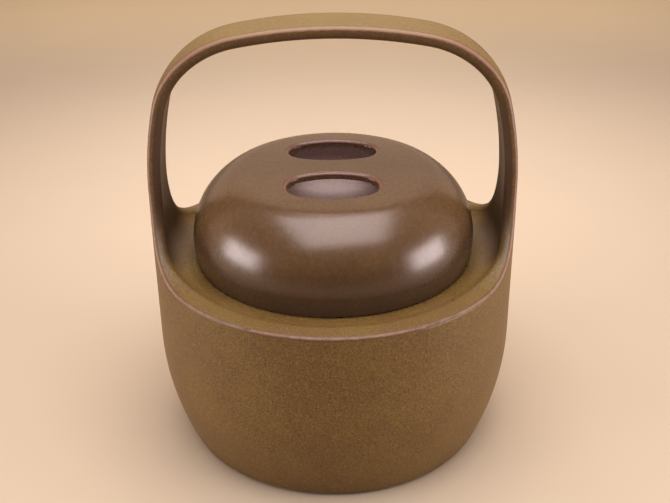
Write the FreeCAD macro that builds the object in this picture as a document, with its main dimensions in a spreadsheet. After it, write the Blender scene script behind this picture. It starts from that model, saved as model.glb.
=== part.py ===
"""Covered serving dish in glazed stoneware, with an arched strap handle and a lift-off lid.

Millimetres, +Z up. The origin is the middle of the foot on the table, the handle spans X
and the front of the dish is -Y. The pot and its handle are one thrown closed form: its dome
is cut away at the front and the back, which leaves the strap. The lid is a second thrown
dome with a round mouth at the top, a strap across that mouth and a sunk well underneath,
so that fingers pinch the strap from both sides.
"""
import FreeCAD
import Part
import math
import os

import Sketcher

SHEET = "Dims"
PARALLEL = 0.99  # share of a unit vector that counts as along an axis
SAME = 0.001  # how close two lengths lie that count as equal

# Driving dimensions: alias, value in millimetres or degrees, what it is.
DIMENSIONS = (
    ("pot_height", 108.0, "foot to the top of the rim"),
    ("rim_radius", 98.5, "outside of the pot wall and of the handle's legs"),
    ("wall", 7.0, "thrown wall of the pot and thickness of the strap"),
    ("belly_height", 63.0, "where the straight wall starts to draw in"),
    ("belly_radius", 150.0, "radius of the drawn-in lower wall"),
    ("base_corner_radius", 6.0, "round between the lower wall and the foot"),
    ("floor_thickness", 8.0, "floor over the foot plane"),
    ("foot_recess_radius", 66.0, "turned recess inside the foot ring"),
    ("foot_recess_depth", 3.0, "depth of the turned recess"),
    ("foot_recess_round", 2.0, "round in the corner of the recess"),
    ("inner_floor_round", 24.0, "round between the inside floor and wall"),
    ("inner_top_round", 10.0, "round between the inside wall and the shoulder"),
    ("shoulder_drop", 3.0, "rim top down to the lid seat"),
    ("shoulder_thickness", 7.0, "thickness under the lid seat"),
    ("lip_drop", 0.5, "rim top down to the shoulder where it meets the wall"),
    ("root_cove_radius", 10.0, "hollow round between shoulder and handle"),
    ("seat_outer_radius", 78.0, "outside of the flat lid seat"),
    ("mouth_radius", 69.0, "opening of the pot"),
    ("mouth_round", 1.5, "round along both edges of the mouth"),
    ("handle_height", 235.0, "foot to the top of the handle"),
    ("crown_angle", 11.0, "half angle of the handle's flat crown"),
    ("haunch_radius", 57.5, "upper bend of the handle"),
    ("haunch_angle", 33.0, "turn of the upper bend"),
    ("elbow_radius", 47.0, "lower bend of the handle"),
    ("elbow_angle", 32.5, "turn of the lower bend"),
    ("leg_radius", 200.0, "long curve from the bend into the straight leg"),
    ("strap_width", 28.0, "width of the strap"),
    ("flare_radius", 44.0, "sweep from the strap's edge into the rim"),
    ("edge_round", 2.2, "worn round along the outer edges of rim and strap"),
    ("inner_edge_round", 4.0, "softer round along their inner edges"),
    ("handle_joint_height", 160.0, "level of the joint between pot and strap"),
    ("lid_seat_gap", 0.3, "air between the lid and its seat"),
    ("lid_height", 49.7, "lid foot to the top of its crown"),
    ("lid_wall", 5.5, "wall of the lid"),
    ("lid_seat_margin", 2.45, "flat seat left free outside the lid's foot"),
    ("lid_swell", 1.2, "widest outside of the lid over its foot"),
    ("lid_crown_radius", 670.0, "nearly flat crown of the lid"),
    ("lid_crown_angle", 4.27, "half angle of the lid's crown"),
    ("lid_knuckle_radius", 18.0, "bend from the crown towards the side"),
    ("lid_knuckle_angle", 32.3, "slope at which the bend ends"),
    ("lid_foot_round", 1.2, "round under the lid's outer foot"),
    ("flange_clearance", 1.0, "air between the lid's flange and the mouth"),
    ("flange_depth", 8.0, "flange below the lid foot"),
    ("flange_thickness", 5.0, "flange that keeps the lid centred"),
    ("flange_round", 1.2, "round along the lower edges of the flange"),
    ("well_radius", 38.4, "inside of the finger well at its mouth"),
    ("well_depth", 28.0, "lid crown down to the floor of the well"),
    ("well_wall", 5.0, "wall of the finger well"),
    ("well_neck_depth", 10.0, "lid crown down to where the well draws in"),
    ("well_side_radius", 13.0, "round between the side and the floor of the well"),
    ("bridge_waist", 18.4, "width of the strap across the well at its middle"),
    ("bridge_side_radius", 45.0, "sweep of the bridge's two sides"),
    ("bridge_thickness", 4.4, "thickness of the bridge"),
    ("bridge_edge_round", 2.1, "round along the upper edges of the finger openings"),
    ("bridge_under_round", 1.6, "round along the lower edges of the bridge"),
    ("opening_tip_radius", 12.0, "round at the ends of the finger openings"),
    ("bridge_length", 40.0, "length of the bridge between its two joints"),
)


class Size:
    """A length or an angle that carries its number and the sheet formula that makes it."""

    def __init__(self, value: float, text: str):
        self.value = value
        self.text = text

    @staticmethod
    def of(thing) -> "Size":
        return thing if isinstance(thing, Size) else Size(float(thing), repr(float(thing)))

    def _join(self, other, value: float, sign: str) -> "Size":
        return Size(value, f"({self.text} {sign} {Size.of(other).text})")

    def __add__(self, other) -> "Size":
        return self._join(other, self.value + Size.of(other).value, "+")

    def __radd__(self, other) -> "Size":
        return Size.of(other) + self

    def __sub__(self, other) -> "Size":
        return self._join(other, self.value - Size.of(other).value, "-")

    def __rsub__(self, other) -> "Size":
        return Size.of(other) - self

    def __mul__(self, other) -> "Size":
        return self._join(other, self.value * Size.of(other).value, "*")

    def __rmul__(self, other) -> "Size":
        return Size.of(other) * self

    def __truediv__(self, other) -> "Size":
        return self._join(other, self.value / Size.of(other).value, "/")

    def __neg__(self) -> "Size":
        return Size(-self.value, f"(-{self.text})")


def sine(angle: Size) -> Size:
    return Size(math.sin(math.radians(angle.value)), f"sin({angle.text})")


def cosine(angle: Size) -> Size:
    return Size(math.cos(math.radians(angle.value)), f"cos({angle.text})")


def root(square: Size) -> Size:
    return Size(math.sqrt(square.value), f"sqrt({square.text})")


def leg_of(hypotenuse: Size, other_leg: Size) -> Size:
    """The third side of a right-angled triangle."""
    return root(hypotenuse * hypotenuse - other_leg * other_leg)


class Sizes:
    """The document's sheet, read back as Size objects by alias."""

    def __init__(self, document):
        self.sheet = document.addObject("Spreadsheet::Sheet", SHEET)
        for row, (alias, value, note) in enumerate(DIMENSIONS, start=1):
            self.sheet.set(f"A{row}", note)
            self.sheet.set(f"B{row}", str(value))
            self.sheet.setAlias(f"B{row}", alias)
        document.recompute()

    def __getattr__(self, alias: str) -> Size:
        return Size(float(self.sheet.get(alias)), f"{SHEET}.{alias}")


class Outline:
    """A closed outline in a body's own sketch, whose corners and radii follow the sheet."""

    def __init__(self, body, name: str, plane: str):
        self.sketch = body.newObject("Sketcher::SketchObject", name)
        origin = next(item for item in body.Origin.OriginFeatures if item.Role == plane)
        self.sketch.AttachmentSupport = [(origin, "")]
        self.sketch.MapMode = "FlatFace"
        self.loop_start = None
        self.first_end = None
        self.pen = None

    def _bind(self, constraint, label: str, size: Size) -> None:
        index = self.sketch.addConstraint(constraint)
        self.sketch.renameConstraint(index, label)
        self.sketch.setExpression(f"Constraints.{label}", size.text)

    def _hold(self, geometry: int, end: int, across: Size, up: Size) -> None:
        """Fixes one end of a line or an arc at its place in the sketch."""
        for word, size, axis in (("across", across, -2), ("up", up, -1)):
            if size.value == 0.0:
                self.sketch.addConstraint(Sketcher.Constraint("PointOnObject", geometry, end, axis))
                continue
            kind = "DistanceX" if word == "across" else "DistanceY"
            held = Sketcher.Constraint(kind, -1, 1, geometry, end, size.value)
            self._bind(held, f"{word}_{geometry}_{end}", size)

    def start(self, across, up) -> "Outline":
        self.loop_start = (Size.of(across), Size.of(up))
        self.pen = (self.loop_start, None)
        return self

    def _advance(self, geometry: int, first: int, last: int, target) -> "Outline":
        (place, previous) = self.pen
        if previous is None:
            self.first_end = (geometry, first)
            self._hold(geometry, first, *place)
        else:
            self.sketch.addConstraint(Sketcher.Constraint("Coincident", *previous, geometry, first))
        if target is self.loop_start:
            closing = Sketcher.Constraint("Coincident", geometry, last, *self.first_end)
            self.sketch.addConstraint(closing)
        else:
            self._hold(geometry, last, *target)
        self.pen = (target, (geometry, last))
        return self

    def line(self, across=None, up=None) -> "Outline":
        """A straight edge to a new corner; without a corner it closes the outline."""
        target = self.loop_start if across is None else (Size.of(across), Size.of(up))
        ends = [FreeCAD.Vector(x.value, y.value, 0) for x, y in (self.pen[0], target)]
        geometry = self.sketch.addGeometry(Part.LineSegment(*ends), False)
        return self._advance(geometry, 1, 2, target)

    def arc(self, across, up, radius: Size, turn: int, closes: bool = False) -> "Outline":
        """A round edge of less than half a turn; turn is +1 to the left and -1 to the right."""
        target = self.loop_start if closes else (Size.of(across), Size.of(up))
        begin, end = [FreeCAD.Vector(x.value, y.value, 0) for x, y in (self.pen[0], target)]
        chord = end - begin
        offset = math.sqrt(max(radius.value ** 2 - chord.Length ** 2 / 4, 0.0))
        left = FreeCAD.Vector(-chord.y, chord.x, 0).normalize()
        centre = (begin + end) / 2 + left * (turn * offset)
        first, last = (begin, end) if turn > 0 else (end, begin)
        angles = [math.atan2((spot - centre).y, (spot - centre).x) for spot in (first, last)]
        circle = Part.Circle(centre, FreeCAD.Vector(0, 0, 1), radius.value)
        geometry = self.sketch.addGeometry(Part.ArcOfCircle(circle, *angles), False)
        self._advance(geometry, *((1, 2) if turn > 0 else (2, 1)), target)
        held = Sketcher.Constraint("Radius", geometry, radius.value)
        self._bind(held, f"radius_{geometry}", radius)
        return self


def revolve(body, kind: str, name: str, outline: Outline):
    """A full turn of an outline about the vertical axis: Revolution adds, Groove cuts."""
    feature = body.newObject(f"PartDesign::{kind}", name)
    feature.Profile = (outline.sketch, [""])
    feature.ReferenceAxis = (outline.sketch, ["V_Axis"])
    feature.Angle = 360
    outline.sketch.Visibility = False
    body.Document.recompute()
    return feature


def pocket_through(body, name: str, outline: Outline):
    """A cut straight through the body, to both sides of the outline's plane."""
    feature = body.newObject("PartDesign::Pocket", name)
    feature.Profile = (outline.sketch, [""])
    feature.Type = "ThroughAll"
    feature.SideType = "Symmetric"
    body.Document.recompute()
    return feature


def round_edges(body, name: str, wanted, radius: Size):
    """Rounds every edge of the body's last feature for which wanted(edge, faces) is true."""
    base = body.Tip
    shape = base.Shape
    chosen = [f"Edge{number}" for number, edge in enumerate(shape.Edges, start=1)
              if wanted(edge, shape.ancestorsOfType(edge, Part.Face))]
    if not chosen:
        raise RuntimeError(f"{name}: no edge to round")
    feature = body.newObject("PartDesign::Fillet", name)
    feature.Base = (base, chosen)
    feature.setExpression("Radius", radius.text)
    body.Document.recompute()
    return feature


class Arch:
    """The run of tangent arcs that both the outside and the inside of the handle follow."""

    def __init__(self, dims: Sizes):
        self.dims = dims
        first = dims.crown_angle
        second = first + dims.haunch_angle
        third = second + dims.elbow_angle
        self.angles = (first, second, third)
        spread = (dims.haunch_radius * (sine(second) - sine(first))
                  + dims.elbow_radius * (sine(third) - sine(second))
                  + dims.leg_radius * (1 - sine(third)))
        crown_radius = (dims.rim_radius - spread) / sine(first)
        self.radii = (crown_radius, dims.haunch_radius, dims.elbow_radius, dims.leg_radius)

    def centres(self) -> list:
        """Centre of each arc, from the crown down to the leg."""
        across, up = Size.of(0.0), self.dims.handle_height - self.radii[0]
        places = [(across, up)]
        for angle, radius, following in zip(self.angles, self.radii, self.radii[1:]):
            across = across + (radius - following) * sine(angle)
            up = up + (radius - following) * cosine(angle)
            places.append((across, up))
        return places

    def joints(self, inset) -> list:
        """Ends of the arcs at a depth inside the outer face, from the crown down."""
        ends = []
        for angle, radius, (across, up) in zip(self.angles, self.radii, self.centres()):
            depth = radius - inset
            ends.append((across + depth * sine(angle), up + depth * cosine(angle)))
        across, up = self.centres()[-1]
        ends.append((across + self.radii[-1] - inset, up))
        return ends

    def top(self, inset) -> tuple:
        return Size.of(0.0), self.dims.handle_height - inset

    def bears(self, edge) -> bool:
        """True for an edge on the outer skin, on the straight wall or on one of the arcs."""
        place = edge.valueAt((edge.FirstParameter + edge.LastParameter) / 2)
        out = math.hypot(place.x, place.y)
        if abs(out - self.dims.rim_radius.value) < SAME:
            return True
        return any(abs(math.hypot(out - across.value, place.z - up.value) - radius.value) < SAME
                   for (across, up), radius in zip(self.centres(), self.radii))


def draw_arch(outline: Outline, arch: Arch, inset) -> Outline:
    """Adds the arcs from the top of the leg up to the crown, ending on the axis."""
    ends = arch.joints(inset)[::-1]
    radii = [radius - inset for radius in arch.radii][::-1]
    for (across, up), radius in zip(ends[1:] + [arch.top(inset)], radii):
        outline.arc(across, up, radius, turn=1)
    return outline


def add_closed_form(body, dims: Sizes, arch: Arch) -> None:
    """The thrown form before anything is cut away: pot wall and dome in one turn."""
    belly_centre = (dims.rim_radius - dims.belly_radius, dims.belly_height)
    corner = dims.base_corner_radius
    reach = dims.belly_radius - corner
    drop = dims.belly_height - corner
    foot_radius = belly_centre[0] + leg_of(reach, drop)
    share = dims.belly_radius / reach
    corner_top = (belly_centre[0] + leg_of(reach, drop) * share, dims.belly_height - drop * share)
    outline = Outline(body, "OutsideProfile", "XZ_Plane").start(0.0, 0.0)
    outline.line(foot_radius, 0.0)
    outline.arc(*corner_top, corner, turn=1)
    outline.arc(dims.rim_radius, dims.belly_height, dims.belly_radius, turn=1)
    outline.line(*arch.joints(0.0)[-1])
    draw_arch(outline, arch, 0.0)
    outline.line()
    revolve(body, "Revolution", "ClosedForm", outline)


def cut_pot_inside(body, dims: Sizes) -> None:
    """The room for the food, up to the shoulder and out through the mouth."""
    wall_radius = dims.rim_radius - dims.wall
    seat = dims.pot_height - dims.shoulder_drop
    ceiling = seat - dims.shoulder_thickness
    low, high, corner = dims.inner_floor_round, dims.inner_top_round, dims.mouth_round
    outline = Outline(body, "InsideProfile", "XZ_Plane").start(0.0, dims.floor_thickness)
    outline.line(wall_radius - low, dims.floor_thickness)
    outline.arc(wall_radius, dims.floor_thickness + low, low, turn=1)
    outline.line(wall_radius, ceiling - high)
    outline.arc(wall_radius - high, ceiling, high, turn=1)
    outline.line(dims.mouth_radius + corner, ceiling)
    outline.arc(dims.mouth_radius, ceiling + corner, corner, turn=-1)
    outline.line(dims.mouth_radius, seat - corner)
    outline.arc(dims.mouth_radius + corner, seat, corner, turn=-1)
    outline.line(dims.mouth_radius + corner, dims.pot_height)
    outline.line(0.0, dims.pot_height)
    outline.line()
    revolve(body, "Groove", "PotInside", outline)


def cut_room_over_shoulder(body, dims: Sizes, arch: Arch) -> None:
    """The space between the shoulder and the dome, with the hollow round at its edge."""
    wall_radius = dims.rim_radius - dims.wall
    seat = dims.pot_height - dims.shoulder_drop
    lip = dims.pot_height - dims.lip_drop
    run = wall_radius - dims.seat_outer_radius
    rise = lip - seat
    slope = root(run * run + rise * rise)
    tangent = dims.root_cove_radius * (1 - rise / slope) / (run / slope)
    outline = Outline(body, "RoomProfile", "XZ_Plane").start(0.0, seat)
    outline.line(dims.seat_outer_radius, seat)
    outline.line(wall_radius - tangent * run / slope, lip - tangent * rise / slope)
    outline.arc(wall_radius, lip + tangent, dims.root_cove_radius, turn=1)
    outline.line(*arch.joints(dims.wall)[-1])
    draw_arch(outline, arch, dims.wall)
    outline.line()
    revolve(body, "Groove", "RoomOverShoulder", outline)


def cut_windows(body, dims: Sizes) -> None:
    """Cuts the dome away at the front and the back; the strap and its flared roots stay."""
    half = dims.strap_width / 2
    flare = dims.flare_radius
    outside = dims.rim_radius + dims.wall
    above = dims.handle_height + dims.wall
    for name, side in (("FrontWindow", -1), ("BackWindow", 1)):
        outline = Outline(body, name + "Profile", "YZ_Plane").start(side * half, above)
        outline.line(side * half, dims.pot_height + flare)
        outline.arc(side * (half + flare), dims.pot_height, flare, turn=side)
        outline.line(side * outside, dims.pot_height)
        outline.line(side * outside, above)
        outline.line()
        pocket_through(body, name, outline)


def is_upright(face, radius: Size) -> bool:
    """True for a part of an upright cylinder of this radius."""
    surface = face.Surface
    if not isinstance(surface, Part.Cylinder) or abs(surface.Axis.z) < PARALLEL:
        return False
    return abs(surface.Radius - radius.value) < SAME


def is_sphere(face, radius: Size) -> bool:
    surface = face.Surface
    return isinstance(surface, Part.Sphere) and abs(surface.Radius - radius.value) < SAME


def is_level(face, height: Size) -> bool:
    surface = face.Surface
    if not isinstance(surface, Part.Plane) or abs(surface.Axis.z) < PARALLEL:
        return False
    return abs(surface.Position.z - height.value) < SAME


def is_window_face(face, dims: Sizes) -> bool:
    """True for the flat and flared faces that the two windows leave."""
    surface = face.Surface
    if isinstance(surface, Part.Cylinder):
        return abs(surface.Axis.x) > PARALLEL
    if isinstance(surface, Part.Plane) and abs(surface.Axis.y) > PARALLEL:
        return True
    return is_level(face, dims.pot_height)


def cut_foot_recess(body, dims: Sizes) -> None:
    """The turned recess that leaves a foot ring."""
    radius, depth, corner = dims.foot_recess_radius, dims.foot_recess_depth, dims.foot_recess_round
    outline = Outline(body, "FootProfile", "XZ_Plane").start(0.0, 0.0)
    outline.line(radius, 0.0)
    outline.line(radius, depth - corner)
    outline.arc(radius - corner, depth, corner, turn=1)
    outline.line(0.0, depth)
    outline.line()
    revolve(body, "Groove", "FootRecess", outline)


def make_pot_with_handle(document, dims: Sizes):
    """The whole fired piece, still in one: pot, shoulder and strap."""
    body = document.addObject("PartDesign::Body", "PotWithHandle")
    arch = Arch(dims)
    add_closed_form(body, dims, arch)
    cut_pot_inside(body, dims)
    cut_room_over_shoulder(body, dims, arch)
    cut_windows(body, dims)
    cut_foot_recess(body, dims)

    def along_windows(faces) -> bool:
        return sum(is_window_face(face, dims) for face in faces) == 1

    def outer_edge(edge, faces) -> bool:
        return along_windows(faces) and arch.bears(edge)

    def inner_edge(edge, faces) -> bool:
        return along_windows(faces) and not arch.bears(edge)

    round_edges(body, "InnerEdges", inner_edge, dims.inner_edge_round)
    round_edges(body, "OuterEdges", outer_edge, dims.edge_round)
    return body


class LidShape:
    """Where the lid's tangent arcs meet, for the outside and for the inside of its wall."""

    def __init__(self, dims: Sizes):
        self.dims = dims
        self.foot = dims.pot_height - dims.shoulder_drop + dims.lid_seat_gap
        self.top = self.foot + dims.lid_height
        self.foot_radius = dims.seat_outer_radius - dims.lid_seat_margin
        self.widest = self.foot_radius + dims.lid_swell
        self.crown_up = self.top - dims.lid_crown_radius
        across, up = self.crown_end(0.0)
        angle = dims.lid_crown_angle
        self.knuckle_centre = (across - dims.lid_knuckle_radius * sine(angle),
                               up - dims.lid_knuckle_radius * cosine(angle))
        across, up = self.knuckle_end(0.0)
        self.shoulder_radius = (self.widest - across) / (1 - sine(dims.lid_knuckle_angle))
        self.widest_up = up - self.shoulder_radius * cosine(dims.lid_knuckle_angle)
        fall, swell = self.widest_up - self.foot, dims.lid_swell
        self.side_radius = (fall * fall + swell * swell) / (2 * swell)

    def crown_end(self, inset) -> tuple:
        depth = self.dims.lid_crown_radius - inset
        angle = self.dims.lid_crown_angle
        return depth * sine(angle), self.crown_up + depth * cosine(angle)

    def knuckle_end(self, inset) -> tuple:
        depth = self.dims.lid_knuckle_radius - inset
        angle = self.dims.lid_knuckle_angle
        across, up = self.knuckle_centre
        return across + depth * sine(angle), up + depth * cosine(angle)

    def crown_height(self, radius: Size, inset) -> Size:
        """Height of the crown at a distance from the axis."""
        return self.crown_up + leg_of(self.dims.lid_crown_radius - inset, radius)

    def foot_round_ends(self) -> tuple:
        """Both ends of the small arc between the flat foot and the side."""
        corner = self.dims.lid_foot_round
        side_across = self.widest - self.side_radius
        reach = self.side_radius - corner
        fall = self.widest_up - self.foot - corner
        run = leg_of(reach, fall)
        share = self.side_radius / reach
        side_end = (side_across + run * share, self.widest_up - fall * share)
        return (side_across + run, self.foot), side_end


def add_lid_shell(body, dims: Sizes, lid: LidShape) -> None:
    """Dome and foot, with a shallow recess under the crown where the well is luted on."""
    wall = dims.lid_wall
    seat_inside = dims.mouth_radius - dims.flange_clearance - dims.flange_thickness
    recess = dims.well_radius + dims.well_wall
    under = dims.bridge_thickness
    foot_end, side_end = lid.foot_round_ends()
    outline = Outline(body, "LidProfile", "XZ_Plane").start(0.0, lid.top - under)
    outline.arc(recess, lid.crown_height(recess, under), dims.lid_crown_radius - under, turn=-1)
    outline.line(recess, lid.crown_height(recess, wall))
    outline.arc(*lid.crown_end(wall), dims.lid_crown_radius - wall, turn=-1)
    outline.arc(*lid.knuckle_end(wall), dims.lid_knuckle_radius - wall, turn=-1)
    outline.arc(lid.widest - wall, lid.widest_up, lid.shoulder_radius - wall, turn=-1)
    outline.line(seat_inside, lid.foot)
    outline.line(*foot_end)
    outline.arc(*side_end, dims.lid_foot_round, turn=1)
    outline.arc(lid.widest, lid.widest_up, lid.side_radius, turn=1)
    outline.arc(*lid.knuckle_end(0.0), lid.shoulder_radius, turn=1)
    outline.arc(*lid.crown_end(0.0), dims.lid_knuckle_radius, turn=1)
    outline.arc(0.0, lid.top, dims.lid_crown_radius, turn=1)
    outline.line()
    revolve(body, "Revolution", "LidShell", outline)


def cut_finger_openings(body, dims: Sizes) -> None:
    """Two openings through the crown, which leave a waisted bridge between them."""
    side = dims.bridge_side_radius
    tip = dims.opening_tip_radius
    well = dims.well_radius
    side_centre = dims.bridge_waist / 2 + side
    inner_reach = side - tip
    outer_reach = well - tip
    tip_up = ((outer_reach * outer_reach - inner_reach * inner_reach + side_centre * side_centre)
              / (2 * side_centre))
    tip_across = leg_of(outer_reach, tip_up)
    near = (tip_across * side / inner_reach,
            side_centre - (side_centre - tip_up) * side / inner_reach)
    far = (tip_across * well / outer_reach, tip_up * well / outer_reach)
    for name, way in (("FrontOpening", -1), ("BackOpening", 1)):
        outline = Outline(body, name + "Profile", "XY_Plane").start(-near[0], way * near[1])
        outline.arc(near[0], way * near[1], side, turn=way)
        outline.arc(far[0], way * far[1], tip, turn=way)
        outline.arc(-far[0], way * far[1], well, turn=way)
        outline.arc(-near[0], way * near[1], tip, turn=way, closes=True)
        pocket_through(body, name, outline)


def make_lid_with_bridge(document, dims: Sizes, lid: LidShape):
    """The lid's dome, still in one with its bridge."""
    body = document.addObject("PartDesign::Body", "LidWithBridge")
    add_lid_shell(body, dims, lid)
    cut_finger_openings(body, dims)
    radii = (dims.bridge_side_radius, dims.opening_tip_radius, dims.well_radius)

    def around_openings(edge, faces) -> bool:
        crown = any(is_sphere(face, dims.lid_crown_radius) for face in faces)
        return crown and any(is_upright(face, radius) for face in faces for radius in radii)

    round_edges(body, "OpeningEdges", around_openings, dims.bridge_edge_round)
    return body


def make_flange(document, dims: Sizes, lid: LidShape):
    """The ring under the lid that keeps it centred in the mouth of the pot."""
    body = document.addObject("PartDesign::Body", "LidFlange")
    outside = dims.mouth_radius - dims.flange_clearance
    inside = outside - dims.flange_thickness
    end = lid.foot - dims.flange_depth
    corner = dims.flange_round
    outline = Outline(body, "FlangeProfile", "XZ_Plane").start(inside, lid.foot)
    outline.line(inside, end + corner)
    outline.arc(inside + corner, end, corner, turn=1)
    outline.line(outside - corner, end)
    outline.arc(outside, end + corner, corner, turn=1)
    outline.line(outside, lid.foot)
    outline.line()
    revolve(body, "Revolution", "FlangeRing", outline)
    return body


def make_well(document, dims: Sizes, lid: LidShape):
    """The cup that is luted under the crown of the lid."""
    body = document.addObject("PartDesign::Body", "LidWell")
    wall = dims.well_wall
    outside = dims.well_radius + wall
    under = dims.bridge_thickness
    joint = lid.top - dims.well_neck_depth
    floor = lid.top - dims.well_depth
    side = dims.well_side_radius
    inward = dims.well_radius - side
    rise = joint - floor
    base = (rise * rise + inward * inward - side * side) / (2 * (rise - side))
    base_up = floor + base
    inner, outer = [(inward * radius / (base - side), base_up + (joint - base_up) * radius / (base - side))
                    for radius in (base, base + wall)]
    outline = Outline(body, "WellProfile", "XZ_Plane").start(0.0, floor)
    outline.arc(*inner, base, turn=1)
    outline.arc(dims.well_radius, joint, side, turn=1)
    outline.line(dims.well_radius, lid.crown_height(dims.well_radius, under))
    outline.arc(outside, lid.crown_height(outside, under), dims.lid_crown_radius - under, turn=-1)
    outline.line(outside, joint)
    outline.arc(*outer, side + wall, turn=-1)
    outline.arc(0.0, floor - wall, base + wall, turn=-1)
    outline.line()
    revolve(body, "Revolution", "WellCup", outline)
    return body


def make_block(document, name: str, corner: tuple, extent: tuple):
    """A bound box that marks which side of a joint a piece belongs to."""
    block = document.addObject("Part::Box", name)
    for axis, size in zip("xyz", corner):
        block.setExpression(f"Placement.Base.{axis}", size.text)
    for side, size in zip(("Length", "Width", "Height"), extent):
        block.setExpression(side, size.text)
    return block


def split(document, whole, block, inside: str, outside: str) -> tuple:
    """Parts a fired piece at its clay joint into the two components it was luted from."""
    within = document.addObject("Part::Common", inside)
    within.Base, within.Tool = whole, block
    beyond = document.addObject("Part::Cut", outside)
    beyond.Base, beyond.Tool = whole, block
    for piece, label in ((within, inside), (beyond, outside)):
        piece.Label = label
    document.recompute()
    return within, beyond


def split_handle(document, dims: Sizes, whole) -> tuple:
    """The strap above the joint level, and the pot with the two roots below it."""
    reach = dims.rim_radius + dims.wall
    above = dims.handle_height + dims.wall - dims.handle_joint_height
    corner = (-reach, -reach, dims.handle_joint_height)
    block = make_block(document, "HandleBlock", corner, (2 * reach, 2 * reach, above))
    return split(document, whole, block, "strap_handle", "pot")


def split_bridge(document, dims: Sizes, lid: LidShape, whole) -> tuple:
    """The bridge between its two joints, with its lower edges rounded, and the lid around it."""
    half = dims.bridge_length / 2
    side_centre = dims.bridge_waist / 2 + dims.bridge_side_radius
    near = side_centre - leg_of(dims.bridge_side_radius, half)
    far = leg_of(dims.well_radius, half)
    reach = (near + far) / 2
    thick = dims.bridge_thickness
    corner = (-half, -reach, lid.top - 2 * thick)
    block = make_block(document, "BridgeBlock", corner, (2 * half, 2 * reach, 4 * thick))
    bridge, shell = split(document, whole, block, "lid_bridge_blank", "lid")
    under = dims.lid_crown_radius - dims.bridge_thickness
    edges = [(number, dims.bridge_under_round.value, dims.bridge_under_round.value)
             for number, edge in enumerate(bridge.Shape.Edges, start=1)
             if is_lower_edge(bridge.Shape.ancestorsOfType(edge, Part.Face), under, dims)]
    rounded = document.addObject("Part::Fillet", "lid_bridge")
    rounded.Label = "lid_bridge"
    rounded.Base = bridge
    rounded.Edges = edges
    document.recompute()
    return rounded, shell


def is_lower_edge(faces, under: Size, dims: Sizes) -> bool:
    below = any(is_sphere(face, under) for face in faces)
    return below and any(is_upright(face, dims.bridge_side_radius) for face in faces)


def check(document, pieces) -> None:
    """Stops the build if an object failed or a piece is not one valid solid."""
    failed = [item.Name for item in document.Objects
              if "Invalid" in item.State or "Error" in item.State]
    if failed:
        raise RuntimeError(f"failed objects: {failed}")
    for piece in pieces:
        shape = piece.Shape
        if shape.isNull() or not shape.isValid() or len(shape.Solids) != 1:
            raise RuntimeError(f"{piece.Label} is not one valid solid")


def main() -> None:
    document = FreeCAD.newDocument("CoveredServingDish")
    dims = Sizes(document)
    lid_shape = LidShape(dims)
    whole_pot = make_pot_with_handle(document, dims)
    handle, pot = split_handle(document, dims, whole_pot)
    whole_lid = make_lid_with_bridge(document, dims, lid_shape)
    bridge, lid = split_bridge(document, dims, lid_shape, whole_lid)
    well = make_well(document, dims, lid_shape)
    well.Label = "lid_well"
    flange = make_flange(document, dims, lid_shape)
    flange.Label = "lid_flange"
    document.recompute()
    pieces = (pot, handle, lid, bridge, well, flange)
    check(document, pieces)
    os.makedirs("parts", exist_ok=True)
    for piece in pieces:
        piece.Shape.exportStep(f"parts/{piece.Label}.step")
        box = piece.Shape.BoundBox
        print(piece.Label, f"{piece.Shape.Volume:.0f} mm3", f"z {box.ZMin:.2f} to {box.ZMax:.2f}")


if __name__ == "__main__":
    main()
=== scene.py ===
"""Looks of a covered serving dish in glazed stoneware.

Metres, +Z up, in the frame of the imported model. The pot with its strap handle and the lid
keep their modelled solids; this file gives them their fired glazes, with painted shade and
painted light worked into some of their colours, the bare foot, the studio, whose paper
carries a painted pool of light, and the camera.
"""
import logging
import math
from dataclasses import dataclass
from enum import Enum

import bmesh
import bpy
from mathutils import Matrix, Vector

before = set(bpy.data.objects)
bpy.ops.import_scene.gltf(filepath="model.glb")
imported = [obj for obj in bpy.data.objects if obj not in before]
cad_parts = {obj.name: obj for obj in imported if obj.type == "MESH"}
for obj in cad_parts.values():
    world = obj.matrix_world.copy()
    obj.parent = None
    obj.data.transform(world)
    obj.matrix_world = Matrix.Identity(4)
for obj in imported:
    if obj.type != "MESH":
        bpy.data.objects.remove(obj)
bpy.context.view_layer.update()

LOG = logging.getLogger("covered_dish")
MILLIMETRES = 1000.0
NOISE_MIDDLE = 0.5
SCREEN_WHITE = 255
SRGB_TOE = 0.04045
SRGB_SLOPE = 12.92
SRGB_OFFSET = 0.055
SRGB_POWER = 2.4


@dataclass(frozen=True)
class Grain:
    """A cloudy noise whose features are about width millimetres wide."""

    width: float
    detail: float = 2.0
    roughness: float = 0.5


class Wire:
    """A value in a node tree, on which Python's operators add Math nodes."""

    def __init__(self, board: "Board", socket: bpy.types.NodeSocket) -> None:
        """Wraps an output socket of a board's node."""
        self.board = board
        self.socket = socket

    def __add__(self, other: "Wire | float") -> "Wire":
        """Sum."""
        return self.board.math("ADD", self, other)

    def __radd__(self, other: float) -> "Wire":
        """Sum with a number on the left."""
        return self.board.math("ADD", other, self)

    def __sub__(self, other: "Wire | float") -> "Wire":
        """Difference."""
        return self.board.math("SUBTRACT", self, other)

    def __rsub__(self, other: float) -> "Wire":
        """Difference from a number."""
        return self.board.math("SUBTRACT", other, self)

    def __mul__(self, other: "Wire | float") -> "Wire":
        """Product."""
        return self.board.math("MULTIPLY", self, other)

    def __rmul__(self, other: float) -> "Wire":
        """Product with a number on the left."""
        return self.board.math("MULTIPLY", other, self)

    def __truediv__(self, other: "Wire | float") -> "Wire":
        """Quotient."""
        return self.board.math("DIVIDE", self, other)

    def __abs__(self) -> "Wire":
        """Size without its sign."""
        return self.board.math("ABSOLUTE", self)


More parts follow.
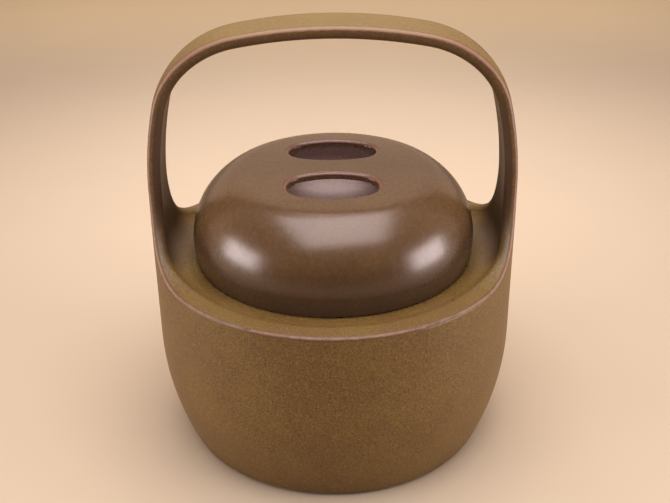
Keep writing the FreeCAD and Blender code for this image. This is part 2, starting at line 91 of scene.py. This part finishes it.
class Board:
    """A node tree that is wired from Python expressions."""

    def __init__(self, tree: bpy.types.NodeTree) -> None:
        """Takes a tree over and empties it."""
        self.tree = tree
        self.tree.nodes.clear()

    def node(self, kind: str, settings: dict | None = None,
             inputs: dict | None = None) -> bpy.types.Node:
        """Adds a node.

        Args:
            kind: the node's type.
            settings: attributes that are set before the inputs.
            inputs: values or wires by the name or number of their socket.

        Returns:
            The new node.
        """
        node = self.tree.nodes.new(kind)
        for name, value in (settings or {}).items():
            setattr(node, name, value)
        for name, value in (inputs or {}).items():
            self.plug(node.inputs[name], value)
        return node

    def add(self, kind: str, settings: dict | None = None, inputs: dict | None = None,
            output: str | int = 0) -> Wire:
        """Adds a node and hands on one of its outputs.

        Args:
            kind: the node's type.
            settings: attributes that are set before the inputs.
            inputs: values or wires by the name or number of their socket.
            output: name or number of the socket that is returned.

        Returns:
            The chosen output as a wire.
        """
        return Wire(self, self.node(kind, settings, inputs).outputs[output])

    def plug(self, socket: bpy.types.NodeSocket, value: "Wire | float | tuple") -> None:
        """Links a wire to a socket, or sets the socket's own value.

        Args:
            socket: the input socket.
            value: a wire, or a value of the socket's own kind.
        """
        if isinstance(value, Wire):
            self.tree.links.new(value.socket, socket)
        else:
            socket.default_value = value

    def math(self, operation: str, *terms: "Wire | float") -> Wire:
        """A Math node on values."""
        return self.add("ShaderNodeMath", {"operation": operation}, dict(enumerate(terms)))

    def most(self, first: "Wire | float", second: "Wire | float") -> Wire:
        """The larger of two values."""
        return self.math("MAXIMUM", first, second)

    def hypot(self, first: Wire, second: Wire) -> Wire:
        """Length of a right-angled triangle's long side."""
        return self.math("SQRT", first * first + second * second)

    def fade(self, value: Wire, start: float, end: float) -> Wire:
        """A smooth step.

        Args:
            value: what the step runs over.
            start: the value at which the step is 0.
            end: the value at which it is 1, which may be the lower one.

        Returns:
            A value from 0 to 1.
        """
        settings = {"interpolation_type": "SMOOTHSTEP", "clamp": True}
        inputs = {"Value": value, "From Min": start, "From Max": end, "To Min": 0.0, "To Max": 1.0}
        if start > end:
            inputs.update({"From Min": end, "From Max": start, "To Min": 1.0, "To Max": 0.0})
        return self.add("ShaderNodeMapRange", settings, inputs)

    def blend(self, share: "Wire | float", first: "Wire | tuple", second: "Wire | tuple") -> Wire:
        """A colour between two colours."""
        settings = {"data_type": "RGBA", "blend_type": "MIX"}
        return self.add("ShaderNodeMix", settings, {0: share, 6: first, 7: second}, output=2)

    def shade(self, tone: Wire, factor: "Wire | float") -> Wire:
        """A colour made lighter or darker by a value."""
        return self.add("ShaderNodeVectorMath", {"operation": "SCALE"}, {0: tone, "Scale": factor})

    def swing(self, noise: Wire, width: float) -> Wire:
        """A factor that swings about 1 by a noise."""
        return (1.0 - width * NOISE_MIDDLE) + noise * width

    def place(self) -> Wire:
        """The point on the piece, in millimetres of the model's frame."""
        return self.shade(self.add("ShaderNodeTexCoord", output="Object"), MILLIMETRES)

    def axes(self, vector: Wire) -> tuple:
        """The three numbers of a vector."""
        node = self.node("ShaderNodeSeparateXYZ", None, {0: vector})
        return tuple(Wire(self, output) for output in node.outputs)

    def noise(self, place: Wire, grain: Grain) -> Wire:
        """Cloudy noise.

        Args:
            place: the point in millimetres.
            grain: how wide and how rough the clouds are.

        Returns:
            A value from 0 to 1.
        """
        inputs = {"Vector": place, "Scale": 1.0 / grain.width, "Detail": grain.detail}
        inputs["Roughness"] = grain.roughness
        return self.add("ShaderNodeTexNoise", {"noise_dimensions": "3D"}, inputs)


class SurfaceBoard(Board):
    """The node tree of one material, with its surface shader."""

    def __init__(self, name: str) -> None:
        """Starts a material whose surface shader feeds its output.

        Args:
            name: the material's name.
        """
        self.material = bpy.data.materials.new(name)
        self.material.use_nodes = True
        super().__init__(self.material.node_tree)
        self.surface = self.node("ShaderNodeBsdfPrincipled")
        plain = Wire(self, self.surface.outputs["BSDF"])
        self.output = self.node("ShaderNodeOutputMaterial", None, {"Surface": plain})

    def feed(self, name: str, value: "Wire | float | tuple") -> None:
        """Wires or sets a socket of the surface shader."""
        self.plug(self.surface.inputs[name], value)

    def wired(self, name: str) -> Wire:
        """What a socket of the surface shader is wired to."""
        return Wire(self, self.surface.inputs[name].links[0].from_socket)

    def glow_over(self, share: Wire, tone: tuple) -> None:
        """Shows an even glow in place of the surface shader.

        Args:
            share: 0 for the surface and 1 for the glow.
            tone: the glow's colour.
        """
        glow = self.add("ShaderNodeEmission", None, {"Color": tone, "Strength": 1.0})
        plain = Wire(self, self.surface.outputs["BSDF"])
        mixed = self.add("ShaderNodeMixShader", None, {"Fac": share, 1: plain, 2: glow})
        self.plug(self.output.inputs["Surface"], mixed)


def linear(value: int) -> float:
    """Turns one screen value into linear light, by the sRGB curve.

    Args:
        value: 0 to 255.

    Returns:
        0 to 1.
    """
    share = value / SCREEN_WHITE
    if share <= SRGB_TOE:
        return share / SRGB_SLOPE
    return ((share + SRGB_OFFSET) / (1.0 + SRGB_OFFSET)) ** SRGB_POWER


def colour(red: int, green: int, blue: int) -> tuple:
    """A colour from its screen values of 0 to 255, as linear light."""
    return (linear(red), linear(green), linear(blue), 1.0)


@dataclass(frozen=True)
class Glaze:
    """A stoneware glaze, as it pools on broad faces and breaks thin over edges; millimetres."""

    name: str
    ground: tuple
    cloud: tuple
    speck: tuple
    fleck: tuple
    thin_edge: tuple
    pooled_edge: tuple
    roughness: float
    ior: float = 1.5
    gloss_tint: tuple = (1.0, 1.0, 1.0, 1.0)
    clouds: Grain = Grain(34.0, 3.0, 0.55)
    cloud_levels: tuple = (0.40, 0.62)
    mottles: Grain = Grain(3.2, 3.0, 0.6)
    mottle_swing: float = 0.28
    grains: Grain = Grain(0.9, 2.0, 0.6)
    speck_levels: tuple = (0.52, 0.66)
    speck_share: float = 0.70
    fleck_levels: tuple = (0.47, 0.34)
    fleck_share: float = 0.50
    edge_start: float = 1.4
    edge_full: float = 0.7
    edge_wander: float = 0.8
    flank_reach: float = 2.4
    pooled_share: float = 0.55
    polish_swing: float = 0.10
    thin_polish: float = 0.06
    skin: Grain = Grain(2.4)
    skin_share: float = 0.7
    ripple_metres: float = 0.00002

    def lay(self, board: SurfaceBoard, place: Wire, edge: Wire) -> None:
        """Wires the glaze to the board's surface shader.

        Args:
            board: the material's node tree.
            place: the point on the piece in millimetres.
            edge: distance in millimetres to the nearest worn edge.
        """
        clouds = board.fade(board.noise(place, self.clouds), *self.cloud_levels)
        mottle = board.noise(place, self.mottles)
        grain = board.noise(place, self.grains)
        specks = board.fade(grain, *self.speck_levels) * self.speck_share
        flecks = board.fade(grain, *self.fleck_levels) * self.fleck_share
        drift = mottle - NOISE_MIDDLE
        wander = edge + drift * self.edge_wander
        pooled = board.fade(wander, self.flank_reach, self.edge_start) * self.pooled_share
        thin = board.fade(wander, self.edge_start, self.edge_full)
        body = board.blend(clouds, self.ground, self.cloud)
        body = board.shade(body, board.swing(mottle, self.mottle_swing))
        body = board.blend(specks, body, self.speck)
        body = board.blend(flecks, body, self.fleck)
        body = board.blend(pooled, body, self.pooled_edge)
        body = board.blend(thin, body, self.thin_edge)
        board.feed("Base Color", body)
        polish = self.roughness + drift * self.polish_swing + thin * self.thin_polish
        board.feed("Roughness", polish)
        skin = board.noise(place, self.skin) * self.skin_share + grain * (1.0 - self.skin_share)
        relief = {"Height": skin, "Distance": self.ripple_metres, "Strength": 1.0}
        board.feed("Normal", board.add("ShaderNodeBump", None, relief))
        board.feed("IOR", self.ior)
        board.feed("Specular Tint", self.gloss_tint)

    def deepen(self, board: SurfaceBoard, share: Wire, tone: tuple) -> None:
        """Turns the wired colour towards another tone where share is 1."""
        board.feed("Base Color", board.blend(share, board.wired("Base Color"), tone))

    def lighten(self, board: SurfaceBoard, factor: Wire) -> None:
        """Makes the wired colour lighter by a factor, specks and edges with it."""
        board.feed("Base Color", board.shade(board.wired("Base Color"), factor))


TEADUST = Glaze(
    name="teadust_glaze",
    ground=colour(105, 76, 36),
    cloud=colour(110, 83, 37),
    speck=colour(74, 50, 24),
    fleck=colour(148, 113, 58),
    thin_edge=colour(138, 100, 80),
    pooled_edge=colour(74, 42, 28),
    roughness=0.50,
)

IRON = Glaze(
    name="iron_glaze",
    ground=colour(87, 62, 39),
    cloud=colour(92, 66, 40),
    speck=colour(62, 42, 28),
    fleck=colour(112, 84, 58),
    thin_edge=colour(122, 78, 64),
    pooled_edge=colour(62, 28, 20),
    edge_start=1.7,
    edge_full=0.9,
    roughness=0.27,
    ior=1.65,
    speck_share=0.55,
    fleck_share=0.30,
    gloss_tint=(1.0, 0.86, 0.88, 1.0),
)


@dataclass(frozen=True)
class BareClay:
    """Fired stoneware without glaze, on the foot and on the seats."""

    warm: tuple = colour(168, 132, 98)
    burnt: tuple = colour(120, 84, 58)
    sand: Grain = Grain(0.8, 3.0, 0.7)
    sand_levels: tuple = (0.35, 0.70)
    roughness: float = 0.85

    def over(self, board: SurfaceBoard, place: Wire, share: Wire) -> None:
        """Shows the clay over the glaze that the board already has.

        Args:
            board: a node tree whose colour and roughness are wired.
            place: the point on the piece in millimetres.
            share: 0 on the glaze and 1 on the clay.
        """
        sand = board.fade(board.noise(place, self.sand), *self.sand_levels)
        clay = board.blend(sand, self.warm, self.burnt)
        polish = board.wired("Roughness")
        board.feed("Base Color", board.blend(share, board.wired("Base Color"), clay))
        board.feed("Roughness", polish + share * (self.roughness - polish))


@dataclass
class PotWithHandle:
    """The pot and its strap, which were thrown as one closed form; sizes in millimetres."""

    rim_radius: float = 98.5
    pot_height: float = 108.0
    handle_height: float = 235.0
    crown_angle: float = 11.0
    bend_radii: tuple = (57.5, 47.0, 200.0)
    bend_turns: tuple = (33.0, 32.5)
    leg_angle: float = 90.0
    strap_width: float = 28.0
    flare_radius: float = 44.0
    crown_highlight_narrowing: float = 0.28
    narrowing_heights: tuple = (185.0, 225.0)
    painted_shade_tone: tuple = colour(64, 40, 25)
    inner_depths: tuple = (1.8, 3.2)
    strap_rise: tuple = (2.0, 12.0)
    strap_share: float = 0.62
    root_halves: tuple = (32.0, 17.0)
    root_inset: tuple = (-20.0, -8.0)
    root_rise: tuple = (-8.0, -4.0)
    root_share: float = 0.85
    crown_painted_light_tone: tuple = colour(126, 111, 68)
    crown_painted_light_share: float = 0.25
    crown_painted_light_lift: float = 0.16
    outer_depths: tuple = (1.6, 0.9)
    crown_drop: tuple = (-13.0, -1.0)
    seat_height: float = 105.0
    seat_radius: float = 75.0
    seat_reach: tuple = (0.5, 0.3)
    bare_foot: float = 2.0
    clay_border: tuple = (0.5, -0.5)
    nodes: tuple = ("pot", "strap_handle")

    def arcs(self) -> list:
        """The arcs of the outer skin from the leg up to the crown.

        Returns:
            For each arc its centre, its radius and the angle from upright where it starts.
        """
        angles = [self.crown_angle]
        for turn in self.bend_turns:
            angles.append(angles[-1] + turn)
        angles.append(self.leg_angle)
        sines = [math.sin(math.radians(angle)) for angle in angles]
        spread = sum(radius * (high - low)
                     for radius, low, high in zip(self.bend_radii, sines, sines[1:]))
        radii = [(self.rim_radius - spread) / sines[0], *self.bend_radii]
        across, up = 0.0, self.handle_height - radii[0]
        found = [(across, up, radii[0], angles[0])]
        for angle, radius, following, limit in zip(angles, radii, radii[1:], angles[1:]):
            across += (radius - following) * math.sin(math.radians(angle))
            up += (radius - following) * math.cos(math.radians(angle))
            found.append((across, up, following, limit))
        return found[::-1]

    def skin_depth(self, board: Board, radius: Wire, height: Wire) -> Wire:
        """Depth of a point under the thrown outer skin.

        Args:
            board: the node tree.
            radius: the point's distance from the axis.
            height: the point's height.

        Returns:
            The depth, 0 on the skin.
        """
        depth = self.rim_radius - radius
        for across, up, bend, limit in self.arcs():
            side = math.sin(math.radians(limit))
            rise = math.cos(math.radians(limit))
            out, over = radius - across, height - up
            inside = board.math("LESS_THAN", out * rise - over * side, 0.0)
            depth = depth + inside * ((bend - board.hypot(out, over)) - depth)
        return depth

    def window_distance(self, board: Board, across: Wire, height: Wire) -> Wire:
        """Distance from the faces that the two windows left in the dome.

        Args:
            board: the node tree.
            across: how far the point lies from the strap's middle plane.
            height: the point's height.

        Returns:
            The distance, 0 on those faces.
        """
        middle = self.strap_width / 2 + self.flare_radius
        level = self.pot_height + self.flare_radius
        sideways = board.most(middle - abs(across), 0.0)
        below = board.most(level - height, 0.0)
        return board.hypot(sideways, below) - self.flare_radius

    def edge_distance(self, board: Board, depth: Wire, across: Wire, height: Wire) -> Wire:
        """Distance from the worn outer edge of rim and strap.

        Args:
            board: the node tree.
            depth: the point's depth under the outer skin.
            across: how far the point lies from the strap's middle plane.
            height: the point's height.

        Returns:
            The distance, which is taken short on the crown, so that the thin-glaze band there widens
            into a painted highlight along the strap's edge.
        """
        plain = board.hypot(depth, self.window_distance(board, across, height))
        # Partly the glaze breaking thin over the edge, partly painted highlight: on the crown the
        # band is widened to stand in for the lit rounding.
        return plain * (1.0 - self.crown_highlight_narrowing * board.fade(height, *self.narrowing_heights))

    def strap_painted_shade(self, board: Board, depth: Wire, radius: Wire, across: Wire, height: Wire) -> Wire:
        """How much painted shade darkens the strap's inner faces and the cove at its roots, where
        shade falls.

        Args:
            board: the node tree.
            depth: the point's depth under the outer skin.
            radius: the point's distance from the axis.
            across: how far the point lies from the strap's middle plane.
            height: the point's height.

        Returns:
            A share from 0 to 1.
        """
        over_rim = height - self.pot_height
        strap = board.fade(over_rim, *self.strap_rise)
        root = board.fade(radius - self.rim_radius, *self.root_inset)
        root = root * board.fade(over_rim, *self.root_rise)
        root = root * board.fade(abs(across), *self.root_halves)
        inner = board.fade(depth, *self.inner_depths)
        return inner * board.most(strap * self.strap_share, root * self.root_share)

    def crown_painted_light(self, board: Board, depth: Wire, height: Wire) -> Wire:
        """How much painted light turns the top of the strap's crown golden and lighter, where the
        overhead light falls.
        """
        outer = board.fade(depth, *self.outer_depths)
        return outer * board.fade(height - self.handle_height, *self.crown_drop)

    def bare(self, board: Board, radius: Wire, height: Wire) -> Wire:
        """Where the foot and the lid's seat are free of glaze.

        Args:
            board: the node tree.
            radius: the point's distance from the axis.
            height: the point's height.

        Returns:
            0 on the glaze and 1 on the clay.
        """
        foot = board.fade(height - self.bare_foot, *self.clay_border)
        level = board.fade(abs(height - self.seat_height), *self.seat_reach)
        seat = level * board.fade(radius - self.seat_radius, *self.clay_border)
        return board.most(foot, seat)

    def dress(self, nodes: dict) -> None:
        """Gives the pot and the strap their glaze, painted shade on the strap's inner faces and
        roots, painted light on its crown, and the bare foot.

        Args:
            nodes: the model's nodes by name.
        """
        board = SurfaceBoard(TEADUST.name)
        place = board.place()
        along, across, height = board.axes(place)
        radius = board.hypot(along, across)
        depth = self.skin_depth(board, radius, height)
        TEADUST.lay(board, place, self.edge_distance(board, depth, across, height))
        # Painted shade: the strap's inner faces and the cove at its roots are turned towards a dark
        # brown where shade falls.
        TEADUST.deepen(board, self.strap_painted_shade(board, depth, radius, across, height), self.painted_shade_tone)
        # Painted light: the up-facing top of the crown is turned golden and lightened as if more
        # light fell on it.
        glow = self.crown_painted_light(board, depth, height)
        TEADUST.deepen(board, glow * self.crown_painted_light_share, self.crown_painted_light_tone)
        TEADUST.lighten(board, 1.0 + glow * self.crown_painted_light_lift)
        BareClay().over(board, place, self.bare(board, radius, height))
        for name in self.nodes:
            wear(nodes[name], board.material)
            LOG.info("%s dressed in %s", name, TEADUST.name)


@dataclass
class LiftOffLid:
    """The domed lid with its two finger openings, its bridge and its well; millimetres."""

    top: float = 155.0
    foot: float = 105.3
    foot_reach: tuple = (0.3, 0.1)
    crown_radius: float = 670.0
    well_radius: float = 38.4
    bridge_waist: float = 18.4
    side_radius: float = 45.0
    tip_radius: float = 12.0
    lid_painted_shade_tone: tuple = colour(48, 31, 18)
    low_rise: tuple = (30.0, 14.0)
    lid_painted_shade_share: float = 0.65
    well_painted_light_tone: tuple = colour(134, 104, 100)
    well_border: tuple = (0.8, 0.2)
    well_drop: tuple = (-3.5, -7.0)
    well_painted_light_share: float = 0.8
    nodes: tuple = ("lid", "lid_bridge", "lid_well", "lid_flange")

    def opening_distance(self, board: Board, along: Wire, across: Wire) -> Wire:
        """Distance in plan from the outline of the nearer finger opening.

        Args:
            board: the node tree.
            along: the point's place along the bridge.
            across: the point's place across the bridge.

        Returns:
            The distance, which is negative inside the opening.
        """
        along, across = abs(along), abs(across)
        middle = self.bridge_waist / 2 + self.side_radius
        inner = self.side_radius - self.tip_radius
        outer = self.well_radius - self.tip_radius
        tip_up = (outer ** 2 - inner ** 2 + middle ** 2) / (2 * middle)
        tip_out = math.sqrt(outer ** 2 - tip_up ** 2)
        rim = board.hypot(along, across) - self.well_radius
        side = board.hypot(along, across - middle) - self.side_radius
        out, up = along - tip_out, across - tip_up
        tip = board.hypot(out, up) - self.tip_radius
        far_side = board.math("GREATER_THAN", out * (middle - tip_up) + up * tip_out, 0.0)
        near_side = board.math("GREATER_THAN", out * tip_up - up * tip_out, 0.0)
        plain = board.most(rim, side)
        return plain + far_side * near_side * (tip - plain)

    def edge_distance(self, board: Board, along: Wire, across: Wire, height: Wire) -> Wire:
        """Distance from the rounded edge of the nearer finger opening.

        Args:
            board: the node tree.
            along: the point's place along the bridge.
            across: the point's place across the bridge.
            height: the point's height.

        Returns:
            The distance, 0 on the edge.
        """
        spread = board.hypot(along, across)
        crown = self.top - spread * spread / (2 * self.crown_radius)
        return board.hypot(self.opening_distance(board, along, across), crown - height)

    def dress(self, nodes: dict) -> None:
        """Gives the lid its glaze, painted shade low on its side, painted light inside its well, and
        the bare foot on which it sits.

        Args:
            nodes: the model's nodes by name.
        """
        board = SurfaceBoard(IRON.name)
        place = board.place()
        along, across, height = board.axes(place)
        IRON.lay(board, place, self.edge_distance(board, along, across, height))
        over_foot = height - self.foot
        # Painted shade: the lower side of the lid is darkened towards its foot, which faces away from
        # the overhead light.
        IRON.deepen(board, board.fade(over_foot, *self.low_rise) * self.lid_painted_shade_share, self.lid_painted_shade_tone)
        # Painted light: the inside of the well is lightened to a mauve that stands in for overhead
        # light reflected into it.
        well = board.fade(board.hypot(along, across) - self.well_radius, *self.well_border)
        well = well * board.fade(height - self.top, *self.well_drop)
        IRON.deepen(board, well * self.well_painted_light_share, self.well_painted_light_tone)
        BareClay().over(board, place, board.fade(abs(over_foot), *self.foot_reach))
        for name in self.nodes:
            wear(nodes[name], board.material)
            LOG.info("%s dressed in %s", name, IRON.name)


def wear(node: bpy.types.Object, material: bpy.types.Material) -> None:
    """Puts one material in every slot of a node.

    Args:
        node: the model's node.
        material: what it is dressed in.
    """
    if not node.material_slots:
        node.data.materials.append(material)
    for slot in node.material_slots:
        slot.material = material


@dataclass(frozen=True)
class StudioCamera:
    """The camera of the photograph, worked out from the ellipses of rim and lid."""

    distance: float = 0.600
    elevation: float = math.radians(27.95)
    roll: float = math.radians(-0.70)
    target: tuple = (0.00075, 0.0, 0.10276)
    focal_length: float = 57.65
    sensor_width: float = 36.0
    clip_start: float = 0.01

    def place(self) -> bpy.types.Object:
        """Puts the camera in front of the dish and makes it the scene's own.

        Returns:
            The camera.
        """
        lens = bpy.data.cameras.new("camera")
        lens.lens = self.focal_length
        lens.sensor_width = self.sensor_width
        lens.sensor_fit = "HORIZONTAL"
        lens.clip_start = self.clip_start
        camera = bpy.data.objects.new("camera", lens)
        bpy.context.scene.collection.objects.link(camera)
        forward = Vector((0.0, math.cos(self.elevation), -math.sin(self.elevation)))
        right = Vector((1.0, 0.0, 0.0))
        upward = right.cross(forward)
        turned = right * math.cos(self.roll) + upward * math.sin(self.roll)
        raised = upward * math.cos(self.roll) - right * math.sin(self.roll)
        turn = Matrix((turned, raised, -forward)).transposed().to_4x4()
        camera.matrix_world = Matrix.Translation(Vector(self.target) - forward * self.distance) @ turn
        bpy.context.scene.camera = camera
        return camera


class Glow(Enum):
    """What a lamp is for."""

    KEY = "overhead panel"
    LEFT = "left softbox"
    RIGHT = "right softbox"
    BACK = "back fill"


@dataclass(frozen=True)
class Softbox:
    """A soft lamp that faces the dish; metres."""

    use: Glow
    place: tuple
    width: float
    height: float
    radiance: float
    tint: tuple = (1.0, 0.97, 0.95)
    aim: tuple = (0.0, 0.0, 0.12)

    def hang(self) -> bpy.types.Object:
        """Builds the lamp and turns it to its aim.

        Returns:
            The lamp.
        """
        lamp = bpy.data.lights.new(self.use.value, "AREA")
        lamp.shape = "RECTANGLE"
        lamp.size = self.width
        lamp.size_y = self.height
        lamp.energy = self.radiance * math.pi * self.width * self.height
        lamp.color = self.tint
        body = bpy.data.objects.new(self.use.value, lamp)
        bpy.context.scene.collection.objects.link(body)
        toward = Vector(self.aim) - Vector(self.place)
        body.location = self.place
        body.rotation_euler = toward.to_track_quat("-Z", "Y").to_euler()
        body.visible_camera = False
        return body


@dataclass
class Studio:
    """The paper sweep under the dish, the lamps and the pale room; metres."""

    floor_size: float = 6.0
    paper: tuple = colour(217, 195, 172)
    paper_beyond_light_pool: tuple = colour(191, 170, 149)
    far_paper_painted_light: tuple = colour(236, 209, 172)
    bounced_paper: tuple = colour(184, 160, 136)
    backdrop: tuple = colour(214, 184, 150)
    paper_roughness: float = 0.9
    paper_gloss: float = 0.2
    light_pool_middle: float = 0.40
    light_pool_reach: tuple = (0.08, 0.46)
    sweep_reach: tuple = (0.74, 1.35)
    far_reach: tuple = (0.55, 0.95)
    side_reach: tuple = (0.30, 0.62)
    side_start: tuple = (0.35, 0.6)
    painted_side_shade: float = 0.10
    fibre: Grain = Grain(60.0)
    fibre_swing: float = 0.03
    room: tuple = (1.0, 0.74, 0.54, 1.0)
    room_front: float = 0.03
    room_back: float = 0.78
    room_turn: tuple = (-0.2, 0.7)
    lamps: tuple = (
        Softbox(Glow.KEY, (0.050, -0.250, 1.050), width=1.10, height=0.95, radiance=4.8),
        Softbox(Glow.LEFT, (-0.865, -0.230, 0.22), width=0.50, height=0.32, radiance=9.0),
        Softbox(Glow.RIGHT, (0.868, -0.210, 0.18), width=0.50, height=0.34, radiance=9.0),
        Softbox(Glow.BACK, (0.0, 0.410, 0.920), width=0.45, height=0.30, radiance=4.0),
    )

    def lay_paper(self) -> bpy.types.Object:
        """A level sheet of pale paper that runs into the backdrop well away from the dish.

        Returns:
            The sheet, linked into the scene.
        """
        mesh = bpy.data.meshes.new("paper")
        sheet = bmesh.new()
        bmesh.ops.create_grid(sheet, x_segments=1, y_segments=1, size=self.floor_size)
        sheet.to_mesh(mesh)
        sheet.free()
        paper = bpy.data.objects.new("paper", mesh)
        bpy.context.scene.collection.objects.link(paper)
        mesh.materials.append(self.paper_material())
        return paper

    def paper_material(self) -> bpy.types.Material:
        """The paper as the camera sees it, with a painted pool of light behind the dish and painted
        shade beyond it, and plainer for the light that it bounces.

        Returns:
            The material.
        """
        board = SurfaceBoard("paper")
        place = board.place()
        along, across, _ = board.axes(place)
        along, across = along / MILLIMETRES, across / MILLIMETRES
        # Painted light: seen by the camera, the paper is lighter in a pool behind the dish, darker
        # beyond it and at the far sides, and lighter again far back where the lamps reach less.
        reach = board.hypot(along, across - self.light_pool_middle)
        tone = board.blend(board.fade(reach, *self.light_pool_reach), self.paper, self.paper_beyond_light_pool)
        tone = board.blend(board.fade(across, *self.far_reach), tone, self.far_paper_painted_light)
        beside = board.fade(abs(along), *self.side_reach) * board.fade(across, *self.side_start)
        tone = board.shade(tone, 1.0 - beside * self.painted_side_shade)
        seen = board.add("ShaderNodeLightPath", output="Is Camera Ray")
        tone = board.blend(seen, self.bounced_paper, tone)
        fibre = board.swing(board.noise(place, self.fibre), self.fibre_swing)
        board.feed("Base Color", board.shade(tone, fibre))
        board.feed("Roughness", self.paper_roughness)
        board.feed("Specular IOR Level", self.paper_gloss)
        board.glow_over(seen * board.fade(reach, *self.sweep_reach), self.backdrop)
        return board.material

    def light_room(self) -> None:
        """A pale room, darker on the camera's side, that the camera sees as the backdrop."""
        world = bpy.data.worlds.new("room")
        world.use_nodes = True
        board = Board(world.node_tree)
        _, turn, _ = board.axes(board.add("ShaderNodeTexCoord", output="Generated"))
        limits = {"Value": turn, "From Min": self.room_turn[0], "From Max": self.room_turn[1]}
        limits.update({"To Min": self.room_front, "To Max": self.room_back})
        strength = board.add("ShaderNodeMapRange", None, limits)
        glow = board.add("ShaderNodeBackground", None, {"Color": self.room, "Strength": strength})
        sight = board.add("ShaderNodeBackground", None, {"Color": self.backdrop})
        seen = board.add("ShaderNodeLightPath", output="Is Camera Ray")
        choice = board.add("ShaderNodeMixShader", None, {"Fac": seen, 1: glow, 2: sight})
        board.node("ShaderNodeOutputWorld", None, {"Surface": choice})
        bpy.context.scene.world = world

    def build(self) -> None:
        """Sets up paper, room, lamps and the plain view transform."""
        self.lay_paper()
        self.light_room()
        for lamp in self.lamps:
            lamp.hang()
            LOG.info("%s hung", lamp.use.value)
        bpy.context.scene.view_settings.view_transform = "Standard"


def main() -> None:
    """Builds the classes in order and reports each piece."""
    logging.basicConfig(level=logging.INFO, format="%(name)s: %(message)s")
    PotWithHandle().dress(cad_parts)
    LiftOffLid().dress(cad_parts)
    Studio().build()
    StudioCamera().place()


if __name__ == "__main__":
    main()
